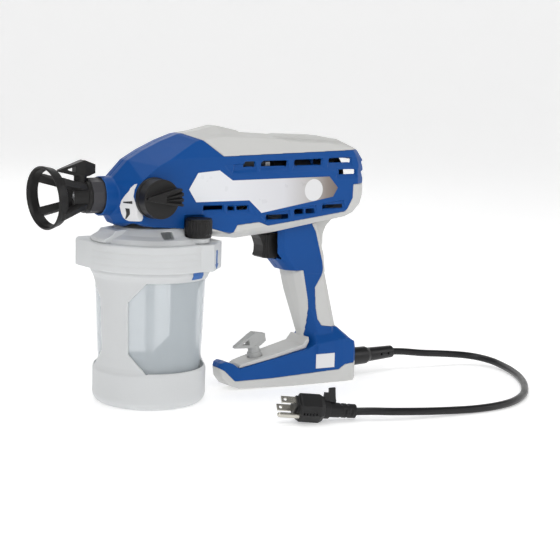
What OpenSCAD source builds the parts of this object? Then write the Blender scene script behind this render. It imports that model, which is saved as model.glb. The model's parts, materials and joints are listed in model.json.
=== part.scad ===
// Hand-held airless paint sprayer with a cup underneath, corded.
// Frame: millimetres, +Z up, muzzle towards -X, left side towards -Y.
// Origin: centre of the cup's flat base, which stands on z = 0.

/* [Cup] */
// Radius of the tub at the foot of the cup support
tub_r = 52; // [50:0.5:54]
// Height of the tub, up to the lower edge of the windows
tub_h = 34.5; // [30:0.5:36]
// Angle that each pillar of the cup support takes up
pillar_angle = 38; // [30:1:44]
// Outer radius of the ridged collar
collar_r = 57.7; // [57.2:0.1:58.2]
// Radius at which the collar's lugs end
lug_r = 67.5; // [65:0.5:69]

/* [Nozzle] */
// Height of the nozzle axis
noz_z = 191; // [190.5:0.5:191.5]
// Radius of the guard ring at its front lip
ring_r = 28; // [26:0.5:29]
// Width across the corners of the ten-sided retaining nut, halved
nut_r = 15.9; // [15.4:0.1:16.2]

/* [Controls] */
// Radius of the prime and spray knob
knob_r = 17.5; // [16:0.5:18]
// Half of the trigger's width
trig_hw = 8.5; // [7.5:0.5:9]

/* [Cord] */
// Radius of the power cord
cord_r = 3.5; // [3:0.1:3.8]

/* [Hidden] */
$fn = 64;

blue = "#1c4f9c";
grey = "#c9cacb";
frost = "#dfe2e6";
coal = "#232427";
steel = "#b9bcc0";

// ---------------------------------------------------------------- helpers

// Side-view outline extruded over a width centred on y = 0
module slab(pts, hw) {
  translate([0, hw, 0]) rotate([90, 0, 0]) linear_extrude(2 * hw) polygon(pts);
}
// Side-view outline extruded from y0 to y1
module plate(pts, y0, y1) {
  translate([0, y1, 0]) rotate([90, 0, 0]) linear_extrude(y1 - y0) polygon(pts);
}
// Outline moved inwards by w, extruded over a width
module slab_in(pts, w, hw) {
  translate([0, hw, 0]) rotate([90, 0, 0]) linear_extrude(2 * hw) offset(delta = -w) polygon(pts);
}
module cylx(r, x0, x1, y = 0, z = 0, f = 64) {
  translate([x0, y, z]) rotate([0, 90, 0]) cylinder(r = r, h = x1 - x0, $fn = f);
}
module cyly(r, y0, y1, x = 0, z = 0, f = 64) {
  translate([x, y1, z]) rotate([90, 0, 0]) cylinder(r = r, h = y1 - y0, $fn = f);
}
module cylz(r, z0, z1, x = 0, y = 0, f = 64) {
  translate([x, y, z0]) cylinder(r = r, h = z1 - z0, $fn = f);
}
module bx(x0, x1, y0, y1, z0, z1) {
  translate([x0, y0, z0]) cube([x1 - x0, y1 - y0, z1 - z0]);
}

function unit(v) = v / norm(v);
function tang(p, i) = unit(p[min(i + 1, len(p) - 1)] - p[max(i - 1, 0)]);
// Side vector carried along the path without twist
function carry(p, i, s) =
  i >= len(p) ? [] :
  let (t = tang(p, i), q = unit(s - t * (s * t))) concat([q], carry(p, i + 1, q));
// Round tube swept along points
module tube(p, r, n = 8, s0 = [0, 0, 1]) {
  sv = carry(p, 0, s0);
  m = len(p);
  pts = [for (i = [0:m - 1]) let (t = tang(p, i), a = sv[i], b = cross(t, a))
    for (k = [0:n - 1]) p[i] + r * (cos(360 * k / n) * a + sin(360 * k / n) * b)];
  faces = concat(
    [for (i = [0:m - 2]) for (k = [0:n - 1]) for (h = [0, 1]) h == 0 ?
      [i * n + k, i * n + (k + 1) % n, (i + 1) * n + (k + 1) % n] :
      [i * n + k, (i + 1) * n + (k + 1) % n, (i + 1) * n + k]],
    [[for (k = [n - 1:-1:0]) k]],
    [[for (k = [0:n - 1]) (m - 1) * n + k]]);
  polyhedron(pts, [for (f = faces) [for (j = [len(f) - 1:-1:0]) f[j]]], convexity = 10);
}
// Points of a coil that runs along X
function coilx(x0, x1, r, turns, z, per = 10, y = 0) =
  [for (i = [0:turns * per]) let (a = 360 * i / per, u = i / (turns * per))
    [x0 + (x1 - x0) * u, y + r * cos(a), z + r * sin(a)]];
// Smooth curve through hand-chosen points
function cr(a, b, c, d, t) = 0.5 * (2 * b + (c - a) * t + (2 * a - 5 * b + 4 * c - d) * t * t
  + (3 * b - a - 3 * c + d) * t * t * t);
function smooth(p, per) = concat(
  [for (i = [0:len(p) - 2]) for (k = [0:per - 1])
    cr(p[max(i - 1, 0)], p[i], p[i + 1], p[min(i + 2, len(p) - 1)], k / per)],
  [p[len(p) - 1]]);

// ------------------------------------------------- outlines of the body (x, z)

// Outline near the middle of the body
mid = [[-47, 174], [-47, 204], [-41, 208.5], [-29, 222.3], [-14, 230.7], [4, 238.8], [21, 244.8],
  [40, 247.5], [62, 247.5], [125, 243], [200, 238.6], [210, 234.5], [216, 229], [224, 218.5],
  [224, 195], [224.5, 186], [222, 176.5], [214, 167.5], [203, 162.2], [124, 150], [86, 147],
  [66, 149], [20, 160.5], [-34, 163], [-42, 166.2]];
// Outline along the crease
crease = [[-41, 177], [-41, 192], [-36, 203], [-19, 220.8], [6, 232.3], [36, 241.4], [62, 244.6],
  [104, 242.9], [182, 237.6], [199, 236.2], [208.5, 233], [214.5, 229], [222.5, 218.5], [222.5, 195],
  [223, 186], [220.5, 177], [212.5, 168], [201, 163], [120, 151.6], [86, 149], [68, 150.4],
  [20, 162], [-27, 164], [-37, 168.5]];
// Outline where the shoulders begin
shoulder = [[-38, 178], [-38, 197], [-31, 206], [-15, 219.5], [8, 230], [32, 239], [60, 243],
  [104, 242], [182, 236.2], [199, 233.9], [207, 231.5], [211.5, 229], [219.5, 218.5], [219.5, 195], [220, 186],
  [217.5, 177], [209, 168.5], [200, 165], [120, 154], [68, 153], [-20, 164], [-33.4, 168]];
// Outline of the flat flank
flank = [[-33.5, 176], [-33, 198], [-28, 206.4], [-12, 218.4], [10, 228.6], [33, 238], [60, 241.5],
  [104, 240.8], [182, 235], [199, 232.2], [204, 226.5], [208.5, 215], [209, 195], [207.5, 184], [198, 172.5],
  [160, 166.5], [105, 160], [66, 156], [-20, 165.4], [-29.5, 168.4]];
body_hw = 33;

// Boundary between the blue halves and the top cover
top_mask = [[14.5, 262], [14.5, 250.5], [26, 245.4], [38, 239.7], [56, 225.8], [201, 229.4],
  [240, 229.6], [240, 262]];
// Boundary between the blue halves and the lower and rear cover
low_mask = [[44, 130], [44, 160.8], [67, 154.2], [72, 162.6], [96, 164.4], [106, 160.6],
  [196, 170.2], [203.5, 183], [204, 196.6], [240, 196.6], [240, 130]];

// Everything beyond the plane in which the upper part of each side leans inwards
module lean(d) for (m = [-1, 1])
  translate([56, m * (body_hw - d), 225.8]) rotate([0, -1.86, 0]) rotate([m * 22.5, 0, 0])
    translate([-120, m > 0 ? 0 : -30, 0]) cube([300, 30, 40]);
// Low strip on each side of the rear hump
module valley(z, y) for (m = [-1, 1])
  plate([[118, 241.8 + z], [131, 238.8 + z], [184, 235.6 + z], [215, 232.6 + z], [215, 262], [118, 262]],
    m > 0 ? y : -41, m > 0 ? 41 : -y);
module body_main() {
  difference() {
    hull() {
      slab(mid, 7);
      slab(crease, 16);
      slab(shoulder, 26);
      slab(flank, body_hw);
    }
    lean(0);
  }
}
module body_outer() {
  body_main();
  // round nose that takes the retaining nut
  cylx(17.6, -54.8, -36, 0, 190.4);
}
module body_inner() {
  difference() {
    hull() {
      slab_in(mid, 2.6, 6);
      slab_in(crease, 2.6, 14.5);
      slab_in(shoulder, 2.6, 23.8);
      slab_in(flank, 2.6, body_hw - 2.5);
    }
    lean(2.8);
    valley(-2.6, 13.4);
  }
}

// ------------------------------------------------- handle and foot

trig_a = [[126, 161], [126, 131], [133.5, 125.5], [136, 121], [143.5, 116.5], [146, 109],
  [190.5, 109], [188, 126], [181, 150], [178, 161]];
trig_b = [[128.5, 161], [129, 131], [137.7, 125], [139.7, 121], [147.7, 116.5], [150, 109],
  [187, 109], [185, 126], [177, 150], [174, 161]];
trig_c = [[135, 161], [136, 132], [141, 125.5], [143.5, 121], [151, 116.5], [154, 109],
  [181.5, 109], [181, 126], [173.4, 150], [170, 161]];
grip_a = [[145.6, 116], [146.8, 111], [152.3, 91], [161.8, 69], [170.8, 56], [173, 49], [170, 42],
  [207, 42], [209, 50], [205, 56], [200.3, 68], [196.4, 90], [191, 111], [190, 116]];
grip_b = [[149.4, 116], [150.4, 111], [155.9, 91], [165.4, 69], [174.4, 56], [176, 42], [204, 42],
  [201, 56], [196.7, 68], [192.8, 90], [187.4, 111], [186.4, 116]];
grip_c = [[156.2, 116], [157.2, 111], [162.7, 91], [172.2, 69], [181, 56], [182, 42], [197, 42],
  [195, 56], [189.9, 68], [186, 90], [180.6, 111], [180, 116]];
handle_hw = 17;

module trig_house() { hull() { slab(trig_a, 8); slab(trig_b, 14); slab(trig_c, handle_hw + 0.5); } }
module grip_outer() { hull() { slab(grip_a, 4.5); slab(grip_b, 11.5); slab(grip_c, handle_hw); } }

// Foot, seen from the side and from above
foot_side = [[71.5, 23.5], [74, 27.4], [79, 28.8], [86, 26.5], [92.5, 21.2], [166.8, 35.5],
  [176, 41], [212, 43.5], [220.5, 39], [224.5, 33], [226, 24], [226, 2], [224, 0], [150, 0],
  [92, 2], [82, 5.5], [75, 13.5]];
foot_plan = [[70.5, -4], [75, -8], [90, -11.5], [130, -16], [205, -24], [218.5, -24], [226, -16.5],
  [226, 16.5], [218.5, 24], [205, 24], [130, 16], [90, 11.5], [75, 8], [70.5, 4]];
module foot_block() {
  intersection() {
    slab(foot_side, 30);
    linear_extrude(60) polygon(foot_plan);
  }
}
// Blend from the foot up to the handle
module foot_blend() {
  hull() {
    slab([[176, 40], [211, 43], [219, 39], [219, 30], [176, 30]], 23);
    slab([[172, 40], [222.5, 34], [221, 40], [212.5, 48], [205, 54.5], [201, 57], [176, 56]], 9);
  }
}
// Boundaries on the handle: front grip, rear grip, foot base
front_mask = [[120, 113], [159.5, 113], [167.4, 76], [170.2, 42], [166.8, 35.5], [92.5, 21.2],
  [92.5, 44], [120, 50]];
rear_mask = [[167.5, 158], [172.4, 150], [183.3, 113.8], [181.3, 106.5], [173.9, 95.3],
  [175.4, 76], [178.1, 63.8], [183.4, 56.8], [201.3, 54], [213, 51.5], [230, 51.5], [230, 170],
  [190, 170], [168, 160]];
base_mask = [[60, 27.2], [68, 25.6], [78, 19.8], [88, 9.5], [130, 9.6], [201.5, 12.6], [208.5, 17.2],
  [235, 18.4], [235, -5], [60, -5]];

module handle_void() {
  difference() {
    union() {
      plate([[122.5, 151.5], [122.5, 131], [138, 123], [152, 118], [153, 112], [185, 112], [184, 126], [174, 156], [135, 156]], -14, 14);
      plate([[154, 116], [159.5, 92], [169, 71], [178, 57], [180, 38], [199, 38], [198, 56],
        [193, 68], [189, 90], [183.5, 116]], -12, 12);
      intersection() {
        plate([[88, 8], [88, 17.5], [166, 32], [178, 40], [206, 40], [217, 33], [220.5, 26], [220.5, 3],
          [98, 4.6]], -30, 30);
        linear_extrude(60) polygon([[86, -8], [130, -13], [205, -21], [217, -21], [221.5, -15.5],
          [221.5, 15.5], [217, 21], [205, 21], [130, 13], [86, 8]]);
      }
    }
    // socket of the spare tip
    spare_at() cylinder(r = 9.4, h = 60, center = true);
  }
}
// Raised pad that covers the foot's top
module foot_pad() {
  intersection() {
    plate([[93, 21.4], [94, 24.6], [98, 26.2], [163, 39.5], [169.5, 47], [170, 42], [166.7, 35.6]], -30, 30);
    linear_extrude(60) polygon([[90, -9.5], [130, -14], [168, -15.5], [176, -15.5], [176, 15.5],
      [168, 15.5], [130, 14], [90, 9.5]]);
  }
}
module spare_at() { translate([116.3, 0, 31.6]) rotate([0, -11, 0]) children(); }
module spare_hole() {
  spare_at() translate([0, 0, -22]) cylinder(r = 7.4, h = 60);
}

// x centre, z centre, length and height of the cooling slots
slots = [[84, 218.5, 11.6, 4.6], [111.8, 218.5, 28, 4.8], [150.3, 218.6, 30.6, 5],
  [187.2, 219.8, 24.4, 4], [196.3, 208.8, 17.6, 4.2], [46, 179.4, 19.4, 3.2],
  [72.6, 178.4, 20.6, 3.2], [117, 168.2, 24.6, 4], [148.2, 172.4, 23, 4.2], [180.8, 175.8, 23, 3.6]];
module slot_cuts() {
  for (s = slots) for (m = [-1, 1]) translate([s[0], m * 30, s[1]]) cube([s[2], 14, s[3]], center = true);
}

// x, z and y of the head of each housing screw
screws = [[0, 217, 32.5], [40, 169.5, 32.5], [69, 213, 32.5], [150, 121.5, 16.6], [171.5, 101, 16.2],
  [100, 13.5, 10.6], [211, 34, 22.4]];

// Ribs inside the body that hold the pump block and the motor
module ribs() {
  difference() {
    intersection() {
      body_inner();
      union() {
        bx(9, 11.4, -40, 40, 150, 250);
        bx(134, 136.4, -40, 40, 150, 250);
        bx(160, 162.4, -40, 40, 150, 250);
        bx(176, 178.4, -40, 40, 150, 250);
      }
    }
    cylx(24.6, 120, 190, 0, motor_z);
    bx(5, 15, -15.2, 15.2, 150, 206.2);
    bx(5, 15, -20, 20, 212, 250);
    bx(125, 185, -12, 12, 140, 182);
    bx(125, 185, -16, 16, 222, 250);
  }
}
// Louvres across the rear
module rear_grooves() {
  plate([[215.5, 218.2], [232, 218.2], [232, 209.4], [221.5, 209.4]], -40, 40);
  plate([[215.5, 208.6], [232, 208.6], [232, 196.9], [223, 196.9]], -40, 40);
  for (z = [213, 203]) bx(205, 235, -17, 17, z - 1.5, z + 1.5);
}
// Top of the handle where it runs up between the halves of the body
module handle_top(gap) {
  intersection() {
    hull() {
      slab(trig_a, 8 + gap);
      slab(trig_b, 14 + gap);
      slab(trig_c, handle_hw + 0.5 + gap);
    }
    plate([[100, 100], [200, 100], [200, 147.5], [186, 161], [100, 161]], -18, 18);
  }
}
// Room under the body for the cup cover and for the vent valve's cap
module cover_room() {
  rotate_extrude($fn = 96) polygon([[0, 140], [54.6, 140], [54.6, 149.9], [50.4, 153.9], [40.4, 156.8],
    [33.4, 162.9], [0, 162.9]]);
}
module shell_all() {
  difference() {
    union() {
      difference() {
        union() {
          difference() {
            body_outer();
            plate(top_mask, -40, 40);
            plate(low_mask, -40, 40);
          }
          handle_top(0);
          grip_outer();
          foot_block();
          foot_blend();
        }
        plate(front_mask, -40, 40);
        plate(rear_mask, -40, 40);
        plate(base_mask, -40, 40);
        body_inner();
        handle_void();
      }
      ribs();
      // ties between the ribs and the side walls of the handle
      for (x = [134, 160]) for (m = [-1, 1]) translate([x, m * 15.3 - 1.1, 150]) cube([2.4, 2.2, 8]);
    }
    // nose opening for the nut and the pump outlet
    cylx(16.5, -60, -50, 0, noz_z);
    cylx(13.2, -60, -40, 0, noz_z);
    // opening for the pump neck
    bx(-33, 33, -26, 26, 155, 168);
    cover_room();
    // trigger mouth
    bx(105, 142, -trig_hw - 0.6, trig_hw + 0.6, 124.6, 150.6);
    // clearance under the lower cover for the handle's top
    bx(105, 240, -14, 14, 150, 160);
    slot_cuts();
    rear_grooves();
    spare_hole();
    // cord exit
    cylx(7.3, 215, 232, 0, 18);
  }
}

module housing_left() color(blue) {
  difference() {
    union() {
      intersection() {
        shell_all();
        bx(60 - 140, 240, -40, 0, -1, 262);
      }
      // pocket round the vent valve's cap
      intersection() {
        body_main();
        cylz(15, 150, 175.6, 26, -40);
      }
    }
    cylz(13, 150, 173.6, 26, -40);
    cover_room();
    // knob stem
    cyly(9.3, -40, -25, -17.7, noz_z);
  }
}
module housing_right() color(blue) {
  difference() {
    union() {
      intersection() {
        shell_all();
        bx(60 - 140, 240, 0, 40, -1, 262);
      }
      for (s = screws) cyly(3.6, 0.6, s[2] - 1.4, s[0], s[1], 32);
    }
    for (s = screws) {
      cyly(1.7, -1, 50, s[0], s[1], 32);
      cyly(3.3, s[2] - 1.9, 50, s[0], s[1], 32);
    }
  }
}

module top_cover() color(grey) {
  difference() {
    union() {
      intersection() {
        difference() {
          body_main();
          valley(0, 16);
        }
        plate(top_mask, -40, 40);
      }
      // front crest
      hull() {
        slab([[30, 243], [38, 247], [62, 252.4], [84, 248], [96, 242]], 7);
        slab([[34, 241], [62, 246], [96, 240.5]], 19);
      }
      // raised rear hump
      hull() {
        slab([[129, 243.2], [135, 243.7], [176, 242.2], [192, 239.4]], 8);
        slab([[134.5, 242.8], [176, 241.4], [190.5, 238.6]], 13.8);
        slab([[134, 236.4], [186, 233.4], [194, 233.2]], 17.4);
        slab([[113, 240.8], [120, 238]], 4);
      }
    }
    body_inner();
  }
}
module rear_cover() color(grey) {
  difference() {
    intersection() {
      body_outer();
      plate(low_mask, -40, 40);
    }
    body_inner();
    // mouth over the handle
    bx(124, 176, -14, 14, 140, 170);
    handle_top(0.15);
    cover_room();
    slot_cuts();
  }
}
module grip_front() color(grey) {
  difference() {
    union() {
      intersection() {
        union() { grip_outer(); foot_block(); foot_blend(); }
        plate(front_mask, -40, 40);
      }
      foot_pad();
    }
    handle_void();
    spare_hole();
  }
}
module grip_rear() color(grey) {
  difference() {
    intersection() {
      union() {
        trig_house();
        grip_outer();
        foot_blend();
        // web that runs up under the body
        plate([[176, 150], [170, 163], [206, 168], [198, 160.5], [191, 154], [187.5, 146], [187, 130]], -8, 8);
      }
      plate(rear_mask, -40, 40);
    }
    handle_void();
    body_main();
  }
}
module foot_base() color(grey) {
  // posts under the power board
  for (x = [140, 200]) for (m = [-1, 1]) cylz(2, 2.4, 8.4, x, m * 8, 24);
  difference() {
    intersection() {
      foot_block();
      plate(base_mask, -40, 40);
    }
    handle_void();
    spare_hole();
    cylx(7.3, 215, 232, 0, 18);
  }
}

// ------------------------------------------------- labels

label_pts = [[18.5, 197.2], [28, 212], [50.5, 213.8], [65, 204.2], [174, 205], [184.5, 194],
  [179, 185.4], [97.5, 173], [83.5, 185.3], [26.5, 185.5]];
module side_label_left() color("#d8dade") plate(label_pts, -body_hw - 0.6, -body_hw);
module side_label_right() color("#d8dade") plate(label_pts, body_hw, body_hw + 0.6);
module knob_label() color("white") difference() {
  intersection() {
    translate([-0.36, -0.36, 0]) body_main();
    plate([[-31.6, 203.4], [-34.6, 198], [-35.3, 192.3], [-34, 186], [-31.5, 181], [-27.6, 175.6], [-27.4, 172.4],
      [-28.6, 170.4], [-36.4, 169.8], [-38.3, 171.2], [-41.2, 176.6], [-42, 182.5], [-41.2, 188], [-39.4, 193.2],
      [-36.6, 199.2], [-33.4, 202.6]], -40, -14);
  }
  body_main();
}
module foot_label() color("white") difference() {
  translate([0, -0.5, 0]) foot_block();
  foot_block();
  bx(60, 175, -40, 40, -5, 70);
  bx(195.6, 240, -40, 40, -5, 70);
  bx(60, 240, -40, 40, -5, 15.4);
  bx(60, 240, -40, 40, 29.6, 70);
  bx(60, 240, 0, 40, -5, 70);
}

// ------------------------------------------------- trigger

module trigger() color(coal) {
  difference() {
    union() {
      difference() {
        plate([[112, 148.6], [115, 144.5], [117.4, 138], [117.4, 132], [116, 127.6], [118.4, 126],
          [124, 125.4], [134.5, 125.4], [134.5, 148.6]], -trig_hw, trig_hw);
        // grip ribs
        for (i = [0:1]) translate([119.4 + 3.4 * i, 0, 136]) difference() {
          cube([1.1, 2 * trig_hw + 2, 40], center = true);
          cube([1.2, 2 * trig_hw - 1.6, 41], center = true);
        }
      }
      // tongue that presses the switch
      bx(133.5, 141, -3, 3, 138, 145);
    }
    // seat of the spring
    cylx(4.2, 129.5, 136, 0, 130.5);
  }
}
module trigger_spring() color(steel)
  tube(coilx(130.1, 146.6, 3.2, 5, 130.5, 8), 0.5, 6, [1, 0, 0]);
module trigger_switch() color("#303236") {
  difference() {
    union() {
      bx(147.3, 172, -8, 8, 126, 150);
      bx(155, 158.6, -5, 5, 122.4, 126);
      bx(162, 166, -5, 5, 122, 126);
    }
    cylx(2, 160, 180, 0, 132);
    // guide of the plunger
    bx(146, 160, -2.7, 2.7, 138.8, 144.2);
  }
}
module switch_plunger() color("#c8413a") bx(141.1, 150, -2.5, 2.5, 139, 144);

// ------------------------------------------------- prime and spray knob

module prime_knob() color(coal) translate([-17.7, 0, noz_z]) {
  difference() {
    union() {
      cyly(knob_r, -50, -36);
      cyly(knob_r + 0.7, -38, -33.7);
      // finned grip bar, narrow at the front and wide at the back
      difference() {
        intersection() {
          hull() {
            translate([-14.5, -52, 0.8]) cube([3, 4, 2.4], center = true);
            translate([15.6, -54.6, 2.2]) cube([1.8, 9.2, 16], center = true);
            translate([9, -54, 2.2]) cube([4, 10, 13.4], center = true);
          }
          cyly(knob_r + 0.1, -61, -47);
        }
        for (g = [[5.6, -16], [1.8, -5], [-1.9, 6]]) translate([10, -60, g[0]]) rotate([0, g[1], 0]) cube([20, 7, 1.8], center = true);
      }
    }
    cyly(14.8, -46, -30);
    cyly(4.02, -48.6, -30);
  }
  difference() {
    cyly(7, -48, -37);
    cyly(4.02, -49, -30);
  }
}
module prime_stem() color(steel) translate([-17.7, 0, noz_z]) {
  difference() {
    cyly(4, -48.5, -4.5);
    cylx(2.2, -6, 6, -8.6, 0, 32);
  }
}

// ------------------------------------------------- nozzle

module retaining_nut() color("#3b3c40") difference() {
  translate([-66.2, 0, noz_z]) rotate([0, 90, 0]) cylinder(r = nut_r, h = 15.8, $fn = 10);
  cylx(12.9, -67, -64.3, 0, noz_z);
  cylx(12.06, -61.4, -50, 0, noz_z);
  cylx(11.2, -65, -60, 0, noz_z);
}

ring_x = -104.6;
module tip_guard() color(coal) difference() {
  union() {
    // ring with a wide inner band, slightly tipped
    translate([ring_x, 0, noz_z - 0.6]) rotate([0, -4, 6]) rotate([0, 90, 0])
      rotate_extrude() polygon([[ring_r - 1, -4], [ring_r, -3.2], [ring_r - 0.2, -1.6],
        [ring_r - 2.2, 6], [ring_r - 3.2, 6.6], [ring_r - 4.2, 6], [ring_r - 3, -1], [ring_r - 1.8, -3.6]]);
    // four arms
    for (a = [37, 143, 215, 325]) hull() {
      translate([ring_x + 5, (ring_r - 2.8) * cos(a), noz_z - 0.6 + (ring_r - 2.8) * sin(a)]) rotate([a, 0, 0]) cube([4, 2.8, 8], center = true);
      translate([-74, 12.4 * cos(a), noz_z + 12.4 * sin(a)]) rotate([a, 0, 0]) cube([8, 3.2, 6], center = true);
    }
    cylx(14, -84, -69.8, 0, noz_z);
    cylx(15.2, -70, -66.5, 0, noz_z);
    cylx(12.6, -67, -64.6, 0, noz_z);
    cylx(11.1, -66, -61.6, 0, noz_z);
  }
  // spray opening
  translate([-84.1, 0, noz_z]) rotate([0, 90, 0]) cylinder(r1 = 12.4, r2 = 6, h = 10);
  // seat of the spray tip
  cylz(7.06, noz_z - 12.5, noz_z + 20, -72.2, 0);
  // way through for the paint and the seal
  cylx(9.06, -70, -60, 0, noz_z);
}
module arrow_handle() {
  difference() {
    intersection() {
      plate([[-22.2, 4.4], [-21.4, 6.2], [-3, 12.6], [2.2, 14.4], [13.4, 10.4], [13.5, 2.6], [6, 0], [-5.6, 0.6]], -5, 5);
      hull() {
        bx(-23, -18, -2.2, 2.2, -1, 16);
        bx(-2, 3, -4.8, 4.8, -1, 16);
        bx(11, 14, -3, 3, -1, 16);
      }
    }
    plate([[-14.4, 6.2], [-6, 9], [-6, 3.6]], -6, 6);
  }
}
// Barrel, stem and arrow-shaped handle; the barrel's axis is local Z
module tip_body() {
  difference() {
    union() {
      cylz(7, -12, 12.2);
      cylz(5.7, 12, 19);
      translate([0, 0, 17.4]) arrow_handle();
    }
    cylx(4.05, -8, 8, 0, 0);
  }
}
module spray_tip() color(coal) translate([-72.2, 0, noz_z]) tip_body();
module tip_insert() color(steel) difference() {
  cylx(4, -77.7, -66.7, 0, noz_z);
  cylx(0.9, -80, -66, 0, noz_z, 24);
  translate([-77.8, 0, noz_z]) rotate([0, 90, 0]) cylinder(r1 = 3, r2 = 0.9, h = 3);
}
module tip_seal() color("#b8772c") difference() {
  cylx(8.8, -64.9, -62.2, 0, noz_z);
  cylx(3, -66, -60, 0, noz_z);
}

// ------------------------------------------------- pump

module pump_block() color("#9da1a6") difference() {
  union() {
    bx(-28, 30, -15, 15, 172.2, 206);
    bx(-38, -27, -9.5, 9.5, 178, 203);
    cylx(11.9, -60, -37, 0, noz_z);
    cylx(8.9, -62, -59, 0, noz_z);
    cylz(13, 168.4, 173, 0, 0);
    // ears for the mounting screws
    for (m = [-1, 1]) bx(14, 28, m < 0 ? -24 : 14, m < 0 ? -14 : 24, 184, 198);
  }
  // piston bore
  cylx(7.05, -10, 31, 0, noz_z);
  // outlet way and outlet valve chamber
  cylx(2.5, -63, -9, 0, noz_z, 32);
  cylx(4.4, -44, -28, 0, noz_z);
  // inlet chamber
  cylz(9.02, 166, 172.4, 0, 0);
  cylz(4.8, 172, 182.5, 0, 0);
  cylz(2.6, 182, 191, 0, 0, 32);
  // prime valve bore
  cyly(4.05, -16, -4.4, -17.7, noz_z);
  for (m = [-1, 1]) cylx(2, 13, 29, m * 19, 191, 32);
}
module outlet_ball() color(steel) translate([-30.4, 0, noz_z]) sphere(r = 3.4);
module outlet_spring() color(steel) tube(coilx(-43.2, -34.6, 3, 5, noz_z, 8), 0.5, 6, [1, 0, 0]);
module inlet_seat() color("#b99a4b") difference() {
  union() {
    cylz(9, 150, 172, 0, 0);
    cylz(11, 158, 162, 0, 0);
  }
  cylz(3, 149, 173, 0, 0);
  cylz(5.02, 149, 162, 0, 0);
}
module inlet_ball() color(steel) translate([0, 0, 174.75]) sphere(r = 4);
module suction_tube() color(frost) difference() {
  cylz(5, 16, 161.8, 0, 0);
  cylz(3.6, 15, 163, 0, 0);
}
module inlet_strainer() color("#e8e8e4") difference() {
  union() {
    cylz(9, 7, 10, 0, 0);
    cylz(8.4, 9.5, 24, 0, 0);
    cylz(9, 23.5, 26, 0, 0);
  }
  cylz(5.03, 14, 27, 0, 0);
  cylz(6.6, 10, 22, 0, 0);
  for (a = [0:30:150]) rotate([0, 0, a]) bx(-12, 12, -0.9, 0.9, 11.5, 21);
}
module piston() color(steel) union() {
  cylx(7, -2, 29, 0, noz_z);
  cylx(5, 28, 78, 0, noz_z);
  cylx(9.4, 60, 63, 0, noz_z);
  translate([78, 0, noz_z]) sphere(r = 5);
}
module piston_spring() color(steel) tube(coilx(31, 59.2, 7.4, 6, noz_z, 10), 0.75, 6, [1, 0, 0]);

// ------------------------------------------------- gearing and motor

gear_z = 183;
motor_z = 203.8;
cam_tilt = 12;
// Toothed wheel with straight-sided teeth, axis along X
module toothed(n, m, x0, x1, z, turn, bore) {
  rr = m * n / 2;
  translate([x0, 0, z]) rotate([0, 90, 0]) rotate([0, 0, turn]) linear_extrude(x1 - x0) difference() {
    polygon([for (i = [0:n - 1]) for (q = [[-0.3, -1.15], [-0.15, 0.85], [0.15, 0.85], [0.3, -1.15]])
      let (a = 360 * (i + q[0]) / n, r = rr + q[1] * m) [r * cos(a), r * sin(a)]]);
    if (bore > 0) circle(r = bore);
  }
}
module swash_cam() color("#8f9296") difference() {
  cylx(13, 83, 94.4, 0, gear_z);
  // sloping face that drives the piston, highest at the top
  translate([83.3, 0, gear_z + 13]) rotate([0, -cam_tilt, 0]) translate([-20, -20, -60]) cube([20, 40, 90]);
  cylx(4.02, 80, 96, 0, gear_z);
}
module drive_gear() color("#a8abae") union() {
  toothed(40, 0.8, 95, 103, gear_z, 0, 0);
  cylx(7, 94.5, 104.4, 0, gear_z);
  cylx(4, 86, 118, 0, gear_z);
}
module gear_plate() color("#9da1a6") difference() {
  union() {
    intersection() {
      bx(107, 112, -24, 24, 162, 228);
      cylx(34, 100, 120, 0, 195);
    }
    cylx(9.4, 104.8, 114, 0, gear_z);
    // spacers against the motor
    for (m = [-1, 1]) cylx(3, 111, 118.9, m * 20.4, motor_z, 32);
  }
  cylx(7.02, 100, 120, 0, gear_z);
  cylx(7.02, 100, 120, 0, motor_z);
}
module ball_bearings() color(steel) {
  for (b = [[106.4, 112, gear_z, 4.05], [107, 112, motor_z, 3.05], [184.6, 189, motor_z, 3.05]]) difference() {
    cylx(7, b[0], b[1], 0, b[2]);
    cylx(b[3], b[0] - 1, b[1] + 1, 0, b[2]);
  }
}
module motor_can() color("#6f7378") difference() {
  cylx(24.4, 119, 189, 0, motor_z);
  cylx(16.6, 118, 184, 0, motor_z);
  cylx(7.02, 180, 190, 0, motor_z);
  for (a = [0:60:300]) translate([178, 0, motor_z]) rotate([a + 30, 0, 0]) translate([-5, -3, 12]) cube([10, 6, 16]);
}
module motor_armature() color("#9a6a3a") union() {
  cylx(3, 93, 204, 0, motor_z);
  toothed(12, 0.8, 95, 103, motor_z, 15, 0);
  difference() {
    cylx(15.4, 124, 164, 0, motor_z);
    for (a = [0:30:330]) translate([120, 0, motor_z]) rotate([a, 0, 0]) translate([0, -1, 12.6]) cube([60, 2, 5]);
  }
  cylx(10, 168, 181, 0, motor_z);
}
module motor_fan() color("#3a3b3e") difference() {
  union() {
    cylx(7, 192, 200, 0, motor_z);
    cylx(20.4, 199, 200.6, 0, motor_z);
    for (a = [0:36:324]) translate([192, 0, motor_z]) rotate([a, 0, 0]) translate([0, -0.7, 6]) cube([8, 1.4, 14]);
  }
  cylx(3.02, 190, 203, 0, motor_z);
}
module power_board() color("#2f6b45") {
  bx(134, 206, -11, 11, 8.5, 10.1);
  for (p = [[146, 5, 4.5, 12], [162, -4, 4, 9], [182, 4, 5, 14]]) cylz(p[2], 10.1, 10.1 + p[3], p[0], p[1], 32);
  bx(192, 202, -8, 8, 10.1, 18);
}

// ------------------------------------------------- cup

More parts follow.
